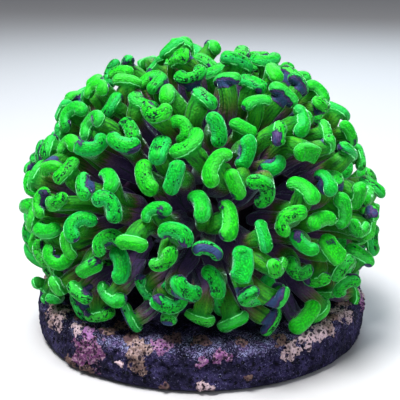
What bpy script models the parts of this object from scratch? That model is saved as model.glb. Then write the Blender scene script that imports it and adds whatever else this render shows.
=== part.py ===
"""Branching hammer coral growing on a round frag disc. Metres, +Z up.

The origin is the centre of the disc's underside, and -Y is the front. A short trunk stands on the
disc and forks into twelve branches. Each branch ends in a calice, a shallow cup that holds one
polyp. A polyp is a soft crown of tentacles, given here as the closed form that their tips reach.
The twelve crowns meet edge to edge and together make a dome.
"""

import math

import bmesh
import bpy
from mathutils import Matrix, Vector

MM = 0.001

# Driving dimensions
DISC_RADIUS = 40.0 * MM
DISC_THICKNESS = 10.5 * MM
DOME_RADIUS = 43.5 * MM
DOME_RISE = 16.4 * MM  # height of the dome's centre above the disc's top
DOME_SKIRT = math.radians(-20.5)  # how far below its equator the dome reaches
CALICE_REACH = 19.5 * MM  # from the dome's centre to the rim of every calice
CALICE_RADIUS = 6.3 * MM
GAP = 0.35 * MM  # left wherever one piece rests on or against another
TOLERANCE = 0.1 * MM  # how near two heights are when they are the same

# Polyps by ring, from the top down: name, count, elevation, azimuth of the first, sway
POLYP_RINGS = (
    ("top", 1, 90.0, 0.0, 0.0),
    ("upper", 4, 43.5, 22.0, 2.0),
    ("lower", 7, 5.0, 270.0, 1.6),
)

# Frag disc
DISC_SEGMENTS = 72
DISC_TOP_ROUNDING = 2.4 * MM
DISC_FOOT_CHAMFER = 0.9 * MM

# Trunk, a turned outline from its foot on the disc to its crown
TRUNK_SEGMENTS = 28
TRUNK_FOOT_RADIUS = 15.5 * MM
TRUNK_FOOT_HEIGHT = 1.2 * MM
TRUNK_WAIST_RADIUS = 8.6 * MM
CROWN_RADIUS = 9.4 * MM
CROWN_RISE = 11.6 * MM  # height of the crown's centre above the disc's top
CROWN_LATITUDES = (-49.0, -25.0, 0.0, 22.0, 42.0, 60.0, 76.0)  # of the crown's rings

# Branches and their calices
BRANCH_SEGMENTS = 14
BRANCH_RADII = (2.5 * MM, 3.4 * MM, 4.0 * MM, 5.5 * MM)  # from the root to the calice's neck
CALICE_HEIGHT = 3.0 * MM
CALICE_LIP = 0.3 * MM  # how much the calice's rim is drawn in
CUP_RADIUS = 5.1 * MM
CUP_DEPTH = 1.6 * MM
CUP_TAPER = 0.2 * MM

# Polyps
POLYP_SEGMENTS = 22
POLYP_FOOT_RADIUS = CUP_RADIUS - GAP
POLYP_FOOT_TAPER = 0.3 * MM
POLYP_BODY_RADIUS = 6.2 * MM
CELL_ROUNDING = 14  # the higher it is, the sharper the corners between neighbouring crowns
# The crown's rings: share of the dome's radius, and share of the way to the edge of its cell
CROWN_RINGS = (
    (0.60, 0.86),
    (0.74, 0.97),
    (0.90, 1.0),
    (0.965, 0.96),
    (0.995, 0.86),
    (1.0, 0.55),
    (1.0, 0.2),
)

DISC_TOP = DISC_THICKNESS
DOME_CENTRE = Vector((0.0, 0.0, DISC_TOP + DOME_RISE))
CROWN_CENTRE = Vector((0.0, 0.0, DISC_TOP + CROWN_RISE))


def clear_scene():
    """Removes every object of the startup scene."""
    for item in list(bpy.data.objects):
        bpy.data.objects.remove(item)


def matte(name, colour, roughness):
    """A non-metallic Principled material."""
    material = bpy.data.materials.new(name)
    material.use_nodes = True
    shader = material.node_tree.nodes["Principled BSDF"]
    shader.inputs["Base Color"].default_value = (*colour, 1.0)
    shader.inputs["Roughness"].default_value = roughness
    shader.inputs["Metallic"].default_value = 0.0
    return material


def add_object(name, bm, material, sharp_angle):
    """Turns a bmesh into a smooth-shaded object, with edges past sharp_angle kept sharp."""
    bmesh.ops.recalc_face_normals(bm, faces=bm.faces)
    mesh = bpy.data.meshes.new(name)
    bm.to_mesh(mesh)
    bm.free()
    mesh.materials.append(material)
    mesh.shade_smooth()
    mesh.set_sharp_from_angle(angle=math.radians(sharp_angle))
    item = bpy.data.objects.new(name, mesh)
    bpy.context.scene.collection.objects.link(item)
    return item


def loft(name, rings, material, sharp_angle=40.0):
    """A closed solid through rings of points, each ring having the same number, with flat ends."""
    bm = bmesh.new()
    loops = [[bm.verts.new(point) for point in ring] for ring in rings]
    count = len(rings[0])
    for below, above in zip(loops, loops[1:]):
        for i in range(count):
            j = (i + 1) % count
            bm.faces.new((below[i], below[j], above[j], above[i]))
    bm.faces.new(loops[0][::-1])
    bm.faces.new(loops[-1])
    return add_object(name, bm, material, sharp_angle)


def direction(elevation, azimuth):
    """Unit vector at these angles, in degrees, with azimuth counted from +X towards +Y."""
    e, a = math.radians(elevation), math.radians(azimuth)
    return Vector((math.cos(e) * math.cos(a), math.cos(e) * math.sin(a), math.sin(e)))


def polyp_axes():
    """Name and unit axis of every polyp. Sway turns each a little, so that no ring is regular."""
    axes = {}
    for ring, count, elevation, first, sway in POLYP_RINGS:
        for k in range(count):
            name = ring if count == 1 else f"{ring}_{k + 1}"
            tilt = sway * math.sin(2.4 * k + 0.6)
            turn = sway * math.sin(3.9 * k + 1.1)
            axes[name] = direction(elevation + tilt, first + 360.0 * k / count + turn)
    return axes


def circle(centre, axis, radius, count):
    """Points on a circle about an axis."""
    turn = axis.to_track_quat("Z", "Y").to_matrix()
    angles = [2.0 * math.pi * i / count for i in range(count)]
    return [centre + turn @ Vector((radius * math.cos(a), radius * math.sin(a), 0.0)) for a in angles]


def frag_disc(material):
    """The round disc, with a rolled top edge and a chamfered foot."""
    bm = bmesh.new()
    bmesh.ops.create_cone(
        bm,
        cap_ends=True,
        segments=DISC_SEGMENTS,
        radius1=DISC_RADIUS,
        radius2=DISC_RADIUS,
        depth=DISC_THICKNESS,
        matrix=Matrix.Translation((0.0, 0.0, DISC_THICKNESS / 2.0)),
    )


    for height, size, steps in (
        (DISC_THICKNESS, DISC_TOP_ROUNDING, 4),
        (0.0, DISC_FOOT_CHAMFER, 1),
    ):
        rim = [e for e in bm.edges if all(abs(v.co.z - height) < TOLERANCE for v in e.verts)]
        bmesh.ops.bevel(bm, geom=rim, offset=size, segments=steps, profile=0.5, affect="EDGES")
    return add_object("frag_disc", bm, material, 30.0)


def trunk(material):
    """The trunk: a foot spread on the disc, a waist, and a round crown from which the branches fork."""
    foot = DISC_TOP + GAP
    middle_radius = 0.5 * (TRUNK_FOOT_RADIUS + TRUNK_WAIST_RADIUS)
    outline = [
        (0.96 * TRUNK_FOOT_RADIUS, foot),
        (TRUNK_FOOT_RADIUS, foot + 0.5 * TRUNK_FOOT_HEIGHT),
        (0.9 * TRUNK_FOOT_RADIUS, foot + TRUNK_FOOT_HEIGHT),
        (middle_radius, foot + 2.0 * TRUNK_FOOT_HEIGHT),
    ]
    for latitude in CROWN_LATITUDES:
        angle = math.radians(latitude)
        radius = max(CROWN_RADIUS * math.cos(angle), TRUNK_WAIST_RADIUS if latitude < 0.0 else 0.0)
        outline.append((radius, CROWN_CENTRE.z + CROWN_RADIUS * math.sin(angle)))
    up = Vector((0.0, 0.0, 1.0))
    rings = [circle(Vector((0.0, 0.0, height)), up, radius, TRUNK_SEGMENTS) for radius, height in outline]
    return loft("trunk", rings, material)


def branch(name, axis, material):
    """One branch: a tube that leaves the crown, turns towards its polyp's axis and opens into a calice."""
    rim = DOME_CENTRE + CALICE_REACH * axis
    neck = rim - CALICE_HEIGHT * axis
    leaving = (rim - CROWN_CENTRE).normalized()
    root = CROWN_CENTRE + (CROWN_RADIUS + GAP) * leaving
    bend = neck - 0.5 * (neck - root).length * axis

    def along(t):
        """Point and heading at t, from 0 at the root to 1 at the neck."""
        point = (1 - t) ** 2 * root + 2 * t * (1 - t) * bend + t**2 * neck
        heading = (1 - t) * (bend - root) + t * (neck - bend)
        return point, heading.normalized()

    rings = []
    for k, radius in enumerate(BRANCH_RADII):
        point, heading = along(k / (len(BRANCH_RADII) - 1))
        rings.append(circle(point, heading if k else leaving, radius, BRANCH_SEGMENTS))
    for back, radius in (
        (0.25 * CALICE_HEIGHT, CALICE_RADIUS),
        (0.0, CALICE_RADIUS - CALICE_LIP),
        (0.0, CUP_RADIUS),
        (CUP_DEPTH, CUP_RADIUS - CUP_TAPER),
    ):
        rings.append(circle(rim - back * axis, axis, radius, BRANCH_SEGMENTS))
    return loft("branch_" + name, rings, material)


def cell_reach(axis, side, others):
    """Angle from a polyp's axis, towards side, to the edge of its share of the dome."""
    limits = []
    for other in others:
        lean = side.dot(other)
        if lean > 1e-6:
            limits.append(math.atan((1.0 - axis.dot(other)) / lean))
    size = math.hypot(axis.z, side.z)
    if size > abs(math.sin(DOME_SKIRT)):
        limits.append(math.atan2(side.z, axis.z) + math.acos(math.sin(DOME_SKIRT) / size))
    return sum(limit**-CELL_ROUNDING for limit in limits) ** (-1.0 / CELL_ROUNDING)


def polyp(name, axis, others, material):
    """One polyp's crown: a foot in the calice's cup, and sides that spread to its share of the dome."""
    turn = axis.to_track_quat("Z", "Y").to_matrix()
    angles = [2.0 * math.pi * i / POLYP_SEGMENTS for i in range(POLYP_SEGMENTS)]
    sides = [turn @ Vector((math.cos(a), math.sin(a), 0.0)) for a in angles]
    reaches = [cell_reach(axis, side, others) for side in sides]

    def shell_ring(radius, share):
        """A ring at this distance from the dome's centre, out to a share of the cell's reach."""
        points = []
        for side, reach in zip(sides, reaches):
            angle = share * (reach - GAP / radius)
            points.append(DOME_CENTRE + radius * (math.cos(angle) * axis + math.sin(angle) * side))
        return points

    def foot_ring(height, radius):
        """A flat ring about the axis, at this height above the calice's rim."""
        centre = DOME_CENTRE + (CALICE_REACH + height) * axis
        return [centre + radius * side for side in sides]

    rings = [
        foot_ring(GAP - CUP_DEPTH, POLYP_FOOT_RADIUS - POLYP_FOOT_TAPER),
        foot_ring(GAP, POLYP_FOOT_RADIUS),
        foot_ring(GAP, POLYP_BODY_RADIUS),
    ]
    for size, share in CROWN_RINGS:
        rings.append(shell_ring(size * DOME_RADIUS, share))
    return loft("polyp_" + name, rings, material, sharp_angle=60.0)


def main():
    clear_scene()
    ceramic = matte("disc_ceramic", (0.055, 0.058, 0.085), 0.9)
    skeleton = matte("coral_skeleton", (0.52, 0.47, 0.42), 0.8)
    flesh = matte("polyp_flesh", (0.05, 0.60, 0.04), 0.45)
    frag_disc(ceramic)
    trunk(skeleton)
    axes = polyp_axes()
    for name, axis in axes.items():
        others = [other for other_name, other in axes.items() if other_name != name]
        branch(name, axis, skeleton)
        polyp(name, axis, others, flesh)


main()
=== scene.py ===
"""Branching hammer coral on a frag disc: the finished surfaces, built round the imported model.

Lengths are in millimetres unless a name or a docstring says metres. Each class models its own
sub-assembly, each finish makes its own material, and main() puts them together.
"""

import logging
import math
from collections.abc import Callable
from dataclasses import dataclass, field
from enum import Enum
from functools import cached_property

import bmesh
import bpy
import numpy as np
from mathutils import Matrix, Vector, noise


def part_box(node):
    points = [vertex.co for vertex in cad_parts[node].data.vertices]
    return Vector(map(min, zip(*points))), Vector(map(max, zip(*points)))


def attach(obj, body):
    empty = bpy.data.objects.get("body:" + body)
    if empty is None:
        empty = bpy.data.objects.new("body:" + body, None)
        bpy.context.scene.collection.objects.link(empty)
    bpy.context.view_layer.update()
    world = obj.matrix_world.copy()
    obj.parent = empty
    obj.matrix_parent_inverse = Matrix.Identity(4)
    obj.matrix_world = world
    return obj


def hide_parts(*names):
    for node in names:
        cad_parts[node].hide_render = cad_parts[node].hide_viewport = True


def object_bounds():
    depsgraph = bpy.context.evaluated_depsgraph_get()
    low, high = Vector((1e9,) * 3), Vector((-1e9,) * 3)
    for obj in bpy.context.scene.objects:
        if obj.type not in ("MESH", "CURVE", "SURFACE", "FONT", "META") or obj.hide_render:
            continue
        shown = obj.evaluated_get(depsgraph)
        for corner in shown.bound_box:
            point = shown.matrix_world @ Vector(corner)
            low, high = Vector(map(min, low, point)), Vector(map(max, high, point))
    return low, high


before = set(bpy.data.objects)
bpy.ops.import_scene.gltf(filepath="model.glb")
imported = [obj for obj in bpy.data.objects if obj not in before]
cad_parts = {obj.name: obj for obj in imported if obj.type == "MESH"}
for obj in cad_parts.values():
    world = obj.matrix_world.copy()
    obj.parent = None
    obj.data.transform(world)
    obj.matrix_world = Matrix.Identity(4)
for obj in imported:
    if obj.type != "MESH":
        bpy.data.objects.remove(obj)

CAD_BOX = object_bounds()
MM = 0.001
LOG = logging.getLogger("hammer_coral")

Triple = tuple[float, float, float]
Colour = Triple
Pairs = tuple[tuple[float, float], ...]
Rings = Pairs  # a step up and a radius each
Rows = np.ndarray
Draws = np.random.Generator
Mesh = bpy.types.Mesh
Piece = bpy.types.Object
Material = bpy.types.Material
Socket = bpy.types.NodeSocket
BLACK: Colour = (0.0, 0.0, 0.0)
APART = 99.0  # stands for a head's distance from itself, which is never too near
NO_WINDOW = -3.0  # well outside any window
FACING = 0.9  # the least part of a normal along an axis, for a face that looks that way


# ---- shared tools


def take(piece: Piece) -> Piece:
    """Selects one piece alone and makes it the active one.

    Args:
        piece: The piece.

    Returns:
        The same piece.
    """
    bpy.ops.object.select_all(action="DESELECT")
    piece.select_set(True)
    bpy.context.view_layer.objects.active = piece
    return piece


def apply_modifiers(piece: Piece) -> None:
    """Applies every modifier of a piece, from the first to the last."""
    for modifier in list(take(piece).modifiers):
        bpy.ops.object.modifier_apply(modifier=modifier.name)


def smooth_out(piece: Piece, levels: int) -> None:
    """Turns a piece's cage into its smooth surface.

    Args:
        piece: The piece.
        levels: How many times it is subdivided.
    """
    smoother = piece.modifiers.new("smooth", "SUBSURF")
    smoother.levels = smoother.render_levels = levels
    apply_modifiers(piece)
    bpy.ops.object.shade_smooth()


def add_cylinder(name: str, sides: int, radius: float, depth: float, middle: float) -> Piece:
    """Adds an upright cylinder on the vertical axis.

    Args:
        name: Its name.
        sides: How many sides it has.
        radius: Its radius.
        depth: How tall it is.
        middle: How high its middle is.

    Returns:
        The cylinder.
    """
    bpy.ops.object.select_all(action="DESELECT")
    bpy.ops.mesh.primitive_cylinder_add(
        vertices=sides, radius=radius * MM, depth=depth * MM, location=(0.0, 0.0, middle * MM)
    )
    piece = bpy.context.active_object
    piece.name = piece.data.name = name
    bpy.ops.object.transform_apply(location=True, rotation=False, scale=False)
    return piece


def read(elements: bpy.types.bpy_prop_collection, key: str) -> Rows:
    """Reads three numbers for each of a mesh's elements.

    Args:
        elements: The mesh's points, or an attribute's data.
        key: The property to read.

    Returns:
        One row an element.
    """
    found = np.empty(len(elements) * 3, np.float32)
    elements.foreach_get(key, found)
    return found.reshape(-1, 3).astype(float)


def points_of(mesh: Mesh) -> Rows:
    """The places of a mesh's points."""
    return read(mesh.vertices, "co") / MM


def move_points(mesh: Mesh, points: Rows) -> None:
    """Moves a mesh's points to new places."""
    mesh.vertices.foreach_set("co", (points * MM).astype(np.float32).ravel())
    mesh.update()


def store(mesh: Mesh, name: str, values: Rows) -> None:
    """Keeps a number or a vector for each point of a mesh, for its material to read.

    Args:
        mesh: The mesh.
        name: The attribute's name.
        values: One row or one number a point.
    """
    kind, slot = ("FLOAT_VECTOR", "vector") if values.ndim == 2 else ("FLOAT", "value")
    layer = mesh.attributes.get(name) or mesh.attributes.new(name, kind, "POINT")
    layer.data.foreach_set(slot, values.astype(np.float32).ravel())


def unit(rows: Rows) -> Rows:
    """Rows scaled to length 1."""
    return rows / np.maximum(np.linalg.norm(rows, axis=-1, keepdims=True), 1e-12)


def smooth(low: float, high: float, values: Rows) -> Rows:
    """A soft step from 0 at low to 1 at high."""
    share = np.clip((values - low) / (high - low), 0.0, 1.0)
    return share * share * (3.0 - 2.0 * share)


def lumps_at(points: Rows, scale: float, *fractal: float, shift: Triple = (0.0, 0.0, 0.0)) -> Rows:
    """Solid noise at each point.

    Args:
        points: The places.
        scale: The noise's scale.
        *fractal: Roughness, lacunarity and octaves; none for plain noise.
        shift: What is added to each scaled place.

    Returns:
        One number a point.
    """
    places = (Vector(point) * scale + Vector(shift) for point in points)
    return np.array([noise.fractal(place, *fractal) if fractal else noise.noise(place) for place in places])


class Pick(Enum):
    """What an edit-mode selection is made of."""

    POINTS = "VERT"
    FACES = "FACE"


class Bench:
    """Edit-mode work on one piece: its elements are picked by their place and worked by operators."""

    def __init__(self, piece: Piece) -> None:
        """Puts the piece alone on the bench and opens it."""
        self.piece = take(piece)
        bpy.ops.object.mode_set(mode="EDIT")

    def pick(self, kind: Pick, test: Callable[[Vector, Vector], bool]) -> None:
        """Selects the elements that pass a test, and no others.

        Args:
            kind: Whether points or faces are picked.
            test: Takes the place and the normal of a point or a face.
        """
        bpy.ops.mesh.select_mode(type=kind.value)
        bpy.ops.mesh.select_all(action="DESELECT")
        mesh = bmesh.from_edit_mesh(self.piece.data)
        if kind is Pick.FACES:
            for face in mesh.faces:
                face.select_set(test(face.calc_center_median() / MM, face.normal))
        else:
            for point in mesh.verts:
                point.select_set(test(point.co / MM, point.normal))
        mesh.select_flush_mode()
        bmesh.update_edit_mesh(self.piece.data)

    def picked(self) -> list[Vector]:
        """The places of the picked points, in metres."""
        return [point.co.copy() for point in bmesh.from_edit_mesh(self.piece.data).verts if point.select]

    def middle(self) -> Vector:
        """The middle of the picked points, in metres."""
        return sum(self.picked(), Vector()) / len(self.picked())

    def extrude(self, step: Triple, scale: Triple = (1.0, 1.0, 1.0)) -> None:
        """Extrudes the picked faces by a step and scales the new ones about their middle."""
        bpy.ops.mesh.extrude_region_move(TRANSFORM_OT_translate={"value": [part * MM for part in step]})
        self.resize(scale)

    def resize(self, scale: Triple) -> None:
        """Scales what is picked about its middle."""
        bpy.ops.transform.resize(value=scale, center_override=self.middle())

    def turn(self, degrees: float, axis: str, about: Triple) -> None:
        """Turns what is picked about a place, by the right-hand rule."""
        centre = [part * MM for part in about]
        bpy.ops.transform.rotate(value=-math.radians(degrees), orient_axis=axis, center_override=centre)

    def raise_rings(self, radius: float, rings: Rings) -> None:
        """Extrudes the top upwards, ring by ring.

        Args:
            radius: The top's radius.
            rings: Each new ring's step up and radius.
        """
        self.pick(Pick.FACES, lambda at, normal: normal.z > FACING)
        for lift, target in rings:
            self.extrude((0.0, 0.0, lift), (target / radius, target / radius, 1.0))
            radius = target

    def close(self) -> None:
        """Takes the piece off the bench."""
        bpy.ops.object.mode_set(mode="OBJECT")


class Recipe:
    """A material's node tree, written as short steps."""

    def __init__(self, name: str) -> None:
        """Starts a material with its shader and output.

        Args:
            name: The material's name.
        """
        self.material = bpy.data.materials.new(name)
        self.material.use_nodes = True
        self.tree = self.material.node_tree

    def node(self, kind: str, output: str | int, inputs: dict | None = None, **settings: object) -> Socket:
        """Adds a node.

        Args:
            kind: The node's type, without the ShaderNode in front.
            output: The name or the number of the output that is wanted.
            inputs: What feeds its inputs, by name or number.
            **settings: Its properties.

        Returns:
            The output.
        """
        made = self.tree.nodes.new("ShaderNode" + kind)
        for key, value in settings.items():
            setattr(made, key, value)
        for key, value in (inputs or {}).items():
            self.feed(made.inputs[key], value)
        return made.outputs[output]

    def feed(self, socket: Socket, value: object) -> None:
        """Links an input to a socket or sets its value.

        Args:
            socket: The input.
            value: A socket, a number, a vector or a colour. None leaves the input alone.
        """
        if isinstance(value, Socket):
            self.tree.links.new(value, socket)
        elif isinstance(value, tuple) and socket.type == "RGBA":
            socket.default_value = (*value, 1.0)
        elif value is not None:
            socket.default_value = value

    def finish(self, **values: object) -> Material:
        """Feeds the shader.

        Args:
            **values: What feeds its inputs, with _ for a space in their names.

        Returns:
            The finished material.
        """
        for key, value in values.items():
            self.feed(self.tree.nodes["Principled BSDF"].inputs[key.replace("_", " ")], value)
        return self.material

    @cached_property
    def place(self) -> Socket:
        """Object coordinates."""
        return self.node("TexCoord", "Object")

    def attribute(self, name: str, output: str = "Vector") -> Socket:
        """What an attribute of the mesh holds."""
        return self.node("Attribute", output, attribute_name=name)

    def scaled(self, vector: Socket, scale: Triple) -> Socket:
        """A vector scaled along each axis, so that a pattern stretches."""
        return self.node("Mapping", "Vector", {"Vector": vector, "Scale": scale})

    def split(self, vector: Socket) -> tuple[Socket, Socket, Socket]:
        """A vector's three parts."""
        return tuple(self.node("SeparateXYZ", 0, {"Vector": vector}).node.outputs)

    def math(self, operation: str, *values: object) -> Socket:
        """The result of one sum on one to three values."""
        return self.node("Math", 0, dict(enumerate(values)), operation=operation)

    def noise(self, vector: Socket, scale: float, detail: float = 2.0, roughness: float = 0.5) -> Socket:
        """Soft noise from 0 to 1."""
        inputs = {"Vector": vector, "Scale": scale, "Detail": detail, "Roughness": roughness}
        return self.node("TexNoise", "Fac", inputs)

    def cells(self, vector: Socket, scale: float) -> Socket:
        """The distance from the middle of each cell of a pattern."""
        return self.node("TexVoronoi", "Distance", {"Vector": vector, "Scale": scale})

    def spots(self, vector: Socket, scale: float, size: float, amount: object, fray: Socket) -> Socket:
        """Round spots, at most one a cell.

        Args:
            vector: The place.
            scale: Cells to the unit of length.
            size: A spot's radius, as a share of a cell.
            amount: The share of the cells that have a spot.
            fray: Noise from 0 to 1 that roughens the edges.

        Returns:
            1 inside a spot and 0 outside.
        """
        away = self.cells(vector, scale)
        off = self.math("MULTIPLY_ADD", fray, 0.5, self.math("SUBTRACT", away, 0.25))
        chance = self.split(away.node.outputs["Color"])[0]
        inside = self.remap(off, size + 0.06, size - 0.06)
        return self.math("MULTIPLY", inside, self.math("GREATER_THAN", amount, chance))

    def remap(
        self, value: Socket, low: float, high: float, to_low: float = 0.0, to_high: float = 1.0
    ) -> Socket:
        """A value moved smoothly from one range to another, and held at its ends."""
        inputs = dict(enumerate((value, low, high, to_low, to_high)))
        return self.node("MapRange", "Result", inputs, interpolation_type="SMOOTHSTEP")

    def ramp(self, value: Socket, *stops: tuple[float, Colour]) -> Socket:
        """A colour from a ramp.

        Args:
            value: Where on the ramp.
            *stops: Positions and colours.

        Returns:
            The colour.
        """
        colour = self.node("ValToRGB", "Color", {"Fac": value})
        bar = colour.node.color_ramp.elements
        for index, (position, tone) in enumerate(stops):
            stop = bar[index] if index < len(bar) else bar.new(position)
            stop.position, stop.color = position, (*tone, 1.0)
        return colour

    def mix(self, share: object, first: object, second: object) -> Socket:
        """Two colours mixed."""
        return self.node("Mix", 2, {0: share, 6: first, 7: second}, data_type="RGBA")

    def bump(self, height: Socket, metres: float, strength: float, normal: Socket | None = None) -> Socket:
        """A bumped normal."""
        inputs = {"Height": height, "Distance": metres, "Strength": strength, "Normal": normal}
        return self.node("Bump", "Normal", inputs)


# ---- finishes


class FleshRecipe(Recipe):
    """The flesh's node tree, with the attributes and the noises that its layers share."""

    def __init__(self) -> None:
        """Reads the attributes and adds the noises."""
        super().__init__("polyp_flesh")
        self.grain = self.attribute("grain")
        self.window, self.pepper, self.reach = self.split(self.attribute("marks"))
        self.tone, self.blush, self.rim = self.split(self.attribute("skin"))
        self.height = self.split(self.grain)[2]
        self.cloud = self.noise(self.grain, 0.55, 3.0)
        self.fine = self.noise(self.grain, 2.6, 3.0, 0.6)
        self.pebble = self.cells(self.grain, 2.0)
        self.streak = self.noise(self.scaled(self.grain, (1.0, 1.0, 0.11)), 1.7)


@dataclass(frozen=True)
class FleshFinish:
    """Living tentacle flesh: green heads with a painted glow for their fluorescence, painted highlights and
    painted shade, streaked stalks and smooth purple windows.
    """

    lime: Colour = (0.020, 0.61, 0.008)
    leaf: Colour = (0.003, 0.46, 0.030)
    teal: Colour = (0.002, 0.38, 0.150)
    # a darker green for the cloudy patches and the pebbles, and the painted shade on the heads' flanks and
    # undersides
    shade: Colour = (0.006, 0.18, 0.018)
    # the two colours of the painted rim highlight, a bluer one and a yellower one
    mint_rim_highlight: Colour = (0.060, 0.70, 0.280)
    gold_rim_highlight: Colour = (0.120, 0.72, 0.130)
    # brighter green grain on the face, partly a painted highlight
    bright_grain_highlight: Colour = (0.014, 0.66, 0.034)
    # the pale colour of the painted highlight line
    pearl_highlight: Colour = (0.210, 0.84, 0.330)
    plum: Colour = (0.044, 0.024, 0.096)
    mauve: Colour = (0.095, 0.060, 0.170)
    lilac: Colour = (0.030, 0.060, 0.150)
    ink: Colour = (0.006, 0.024, 0.050)
    speck: Colour = (0.002, 0.010, 0.014)
    moss: Colour = (0.008, 0.030, 0.014)
    # brighter streaks near the head: a streak pattern and a painted highlight
    sprout_highlight: Colour = (0.060, 0.360, 0.012)
    night: Colour = (0.012, 0.012, 0.020)
    stalk_stops: tuple[tuple[float, Colour], ...] = (
        (0.0, (0.066, 0.044, 0.125)),
        (0.26, (0.128, 0.070, 0.158)),
        (0.42, (0.135, 0.084, 0.104)),
        (0.55, (0.092, 0.112, 0.036)),
        (0.74, (0.042, 0.170, 0.014)),
        (1.0, (0.022, 0.270, 0.018)),
    )
    glow: float = 0.45  # strength of the painted glow that stands in for the heads' fluorescence

    def build(self) -> Material:
        """Makes the material.

        Returns:
            The material, which reads the attributes grain, marks and skin.
        """
        make = FleshRecipe()
        # A painted highlight: a pale line round each head, mixed into the green and glowing.
        line = self.painted_highlight_line(make)
        green = make.mix(make.math("MULTIPLY", line, 0.65), self.green(make), self.pearl_highlight)
        stem = self.stalk(make)
        head = make.remap(make.height, -2.6, -0.8)
        dotted = self.dots(make)
        # The glow is painted light: faint over the heads and full on the painted highlight line. It is dimmed
        # by the light reach attribute, which paints shade among the stalks and underneath.
        light = make.mix(make.remap(line, 0.0, 1.0, 0.80, 0.0), green, BLACK)
        light = make.mix(make.reach, BLACK, light)
        # The stalks glow too, dimmed by the same painted shade.
        dim = make.mix(make.remap(make.reach, 0.0, 1.0, 0.84, 0.62), stem, BLACK)
        glow = make.mix(dotted, make.mix(head, dim, light), BLACK)
        skin = make.bump(make.math("MULTIPLY_ADD", make.streak, 0.6, make.fine), 0.00018, 0.5)
        return make.finish(
            Base_Color=self.windows(make, make.mix(dotted, make.mix(head, stem, green), self.speck)),
            Roughness=make.remap(make.fine, 0.2, 0.8, 0.40, 0.56),
            Normal=make.bump(make.math("SUBTRACT", 1.0, make.pebble), 0.00025, 0.7, skin),
            Subsurface_Weight=0.15,
            Subsurface_Radius=(0.35, 1.0, 0.30),
            Subsurface_Scale=0.0010,
            Sheen_Weight=1.0,
            Sheen_Roughness=0.12,
            Sheen_Tint=(0.58, 1.0, 0.86),
            Specular_IOR_Level=0.06,
            IOR=1.38,
            Coat_Weight=0.12,
            Coat_Roughness=0.36,
            Coat_IOR=1.34,
            Emission_Color=make.mix(make.remap(make.window, -0.5, 0.1), glow, BLACK),
            Emission_Strength=self.glow,
        )

    def green(self, make: FleshRecipe) -> Socket:
        """The heads' green, cloudy and pebbled, with a painted rim highlight and painted shade on the flanks
        and underside.

        Args:
            make: The material's recipe.

        Returns:
            The colour.
        """
        warm = make.math("MULTIPLY_ADD", make.tone, 0.62, 0.20)
        warm = make.math("MULTIPLY_ADD", make.cloud, 0.5, make.math("SUBTRACT", warm, 0.12))
        green = make.ramp(warm, (0.0, self.teal), (0.38, self.leaf), (0.85, self.lime))
        green = make.mix(make.remap(make.cloud, 0.36, 0.60, 0.40, 0.0), green, self.shade)
        green = make.mix(make.remap(make.pebble, 0.25, 0.60, 0.0, 0.60), green, self.shade)
        # Brighter green grain on the face: a grain pattern and, in part, a painted highlight.
        green = make.mix(make.remap(make.fine, 0.52, 0.72, 0.0, 0.9), green, self.bright_grain_highlight)
        # Painted rim highlight along the face's edge, from bluer to yellower by the head's tone.
        edge = make.ramp(make.tone, (0.15, self.mint_rim_highlight), (0.7, self.gold_rim_highlight))
        rim_highlight_share = make.math("MULTIPLY", make.remap(make.rim, 0.55, 1.0), make.remap(make.height, -0.6, 0.4))
        green = make.mix(make.math("MULTIPLY", rim_highlight_share, 0.20), green, edge)
        # Painted shade: the flanks and underside darken below the face, towards the stalk.
        return make.mix(make.remap(make.height, -1.3, 0.6, 0.92, 0.0), green, self.shade)

    def painted_highlight_line(self, make: FleshRecipe) -> Socket:
        """A painted highlight: a broken, wandering pale line round the head, where its face turns over.

        Args:
            make: The material's recipe.

        Returns:
            1 on the line and 0 off it.
        """
        wander = make.math("MULTIPLY_ADD", make.streak, 0.8, make.math("ADD", make.height, -0.1))
        line = make.remap(make.math("ABSOLUTE", wander), 0.26, 0.08)
        return make.math("MULTIPLY", line, make.remap(make.cloud, 0.36, 0.54))

    def stalk(self, make: FleshRecipe) -> Socket:
        """The stalk's colour: green at the head, then olive, mauve-brown and dark purple, in long streaks,
        with brighter streaks near the head that are partly a painted highlight.

        Args:
            make: The material's recipe.

        Returns:
            The colour.
        """
        drift = make.math("MULTIPLY_ADD", make.streak, 7.0, make.height)
        drift = make.math("MULTIPLY_ADD", make.blush, -5.0, drift)
        colour = make.ramp(make.remap(drift, -9.5, 0.5), *self.stalk_stops)
        colour = make.mix(make.remap(make.streak, 0.50, 0.68, 0.0, 0.75), colour, self.moss)
        # Bright yellow-green streaks on the upper stalk: a streak pattern and a painted highlight where light
        # falls near the head.
        high = make.remap(make.height, -9.0, -3.0, 0.0, 0.7)
        bright = make.math("MULTIPLY", make.remap(make.streak, 0.46, 0.30), high)
        colour = make.mix(bright, colour, self.sprout_highlight)
        return make.mix(make.remap(make.fine, 0.42, 0.72, 0.0, 0.45), colour, self.night)

    def dots(self, make: FleshRecipe) -> Socket:
        """Where the dark dots are: in clumps, of two sizes, some run together.

        Args:
            make: The material's recipe.

        Returns:
            1 inside a dot and 0 outside.
        """
        clump = make.remap(make.noise(make.grain, 0.6), 0.44, 0.57)
        amount = make.math("MULTIPLY", clump, make.pepper)
        fewer = make.math("MULTIPLY_ADD", amount, 1.0, -0.15)
        large = make.spots(make.grain, 0.95, 0.34, fewer, make.fine)
        small = make.spots(make.grain, 1.75, 0.36, amount, make.fine)
        vein = make.math("SUBTRACT", make.noise(make.grain, 0.85, 3.0, 0.6), 0.5)
        vein = make.remap(make.math("ABSOLUTE", vein), 0.045, 0.018)
        vein = make.math("MULTIPLY", vein, make.remap(amount, 0.42, 0.60))
        return make.math("MAXIMUM", vein, make.math("MAXIMUM", large, small))

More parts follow.
